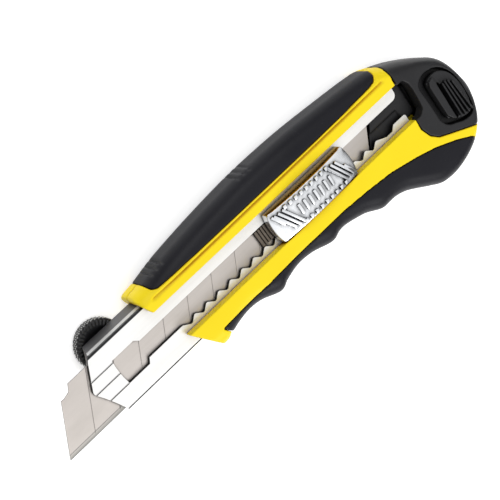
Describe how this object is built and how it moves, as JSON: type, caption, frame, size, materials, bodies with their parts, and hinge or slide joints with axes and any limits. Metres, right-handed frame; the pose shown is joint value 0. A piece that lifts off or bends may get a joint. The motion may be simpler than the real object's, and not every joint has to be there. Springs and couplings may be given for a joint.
{
  "type": "utility knife",
  "caption": "Snap-off blade utility knife: folded steel rail in a two-shell plastic handle with rubber grips, thumb slider, nose clamp wheel, spare-blade magazine and latched end cap.",
  "frame": {"origin": "under the middle of the whole knife, on the flat back that it rests on", "axes": "+X runs from the blade's tip to the tail, +Y from the cutting edge to the spine, +Z out of the back towards the slider"},
  "size_m": [0.1728, 0.0498, 0.02],
  "materials": {
    "yellow_plastic": "satin moulded ABS",
    "soft_grip": "matte soft-touch rubber",
    "black_plastic": "fine matte moulded plastic",
    "rail_steel": "polished folded sheet",
    "blade_steel": "ground carbon steel",
    "cast_zinc": "bright plated die casting",
    "spring_steel": "plain bright steel"
  },
  "bodies": {
    "handle": {"front_shell": "yellow_plastic", "back_shell": "yellow_plastic", "top_grip": "soft_grip", "finger_grip": "soft_grip", "rail": "rail_steel", "rail_screw_1": "spring_steel", "rail_screw_2": "spring_steel", "rail_screw_3": "spring_steel", "spare_blade_1": "blade_steel", "spare_blade_2": "blade_steel", "spare_blade_3": "blade_steel", "magazine_block": "black_plastic", "follower_spring": "spring_steel"},
    "slider": {"slider_button": "cast_zinc", "slider_carrier": "spring_steel", "slider_rivet_1": "spring_steel", "slider_rivet_2": "spring_steel", "lock_spring": "spring_steel", "active_blade": "blade_steel"},
    "wheel": {"lock_wheel": "black_plastic", "wheel_nut": "spring_steel", "wheel_clip": "spring_steel"},
    "clamp": {"clamp_stud": "spring_steel", "clamp_plate": "spring_steel"},
    "follower": {"blade_follower": "black_plastic"},
    "cap": {"end_cap": "black_plastic", "latch_spring": "spring_steel"},
    "latch": {"cap_latch": "black_plastic"}
  },
  "joints": [
    {"name": "blade_slide", "type": "slide", "parent": "handle", "child": "slider", "axis": [1, 0, 0], "range_m": [-0.046, 0.0286]},
    {"name": "wheel_turn", "type": "hinge", "parent": "handle", "child": "wheel", "pos_m": [-0.05639, 0.01214, 0.0023], "axis": [0, 0, 1], "range_deg": [-270, 0]},
    {"name": "clamp_travel", "type": "slide", "parent": "handle", "child": "clamp", "axis": [0, 0, 1], "range_m": [-0.000525, 0]},
    {"name": "follower_lift", "type": "slide", "parent": "handle", "child": "follower", "axis": [0, 0, 1], "range_m": [-0.0015, 0], "stiffness_N_per_m": 300, "deforming": ["follower_spring"]},
    {"name": "cap_slide", "type": "slide", "parent": "handle", "child": "cap", "axis": [1, 0, 0], "range_m": [0, 0.03]},
    {"name": "latch_press", "type": "slide", "parent": "cap", "child": "latch", "axis": [0, 0, 1], "range_m": [-0.0009, 0], "stiffness_N_per_m": 400, "deforming": ["latch_spring"]}
  ],
  "couplings": [
    {"joint": "wheel_turn", "follows": "clamp_travel", "rad_per_m": 8975.9}
  ]
}
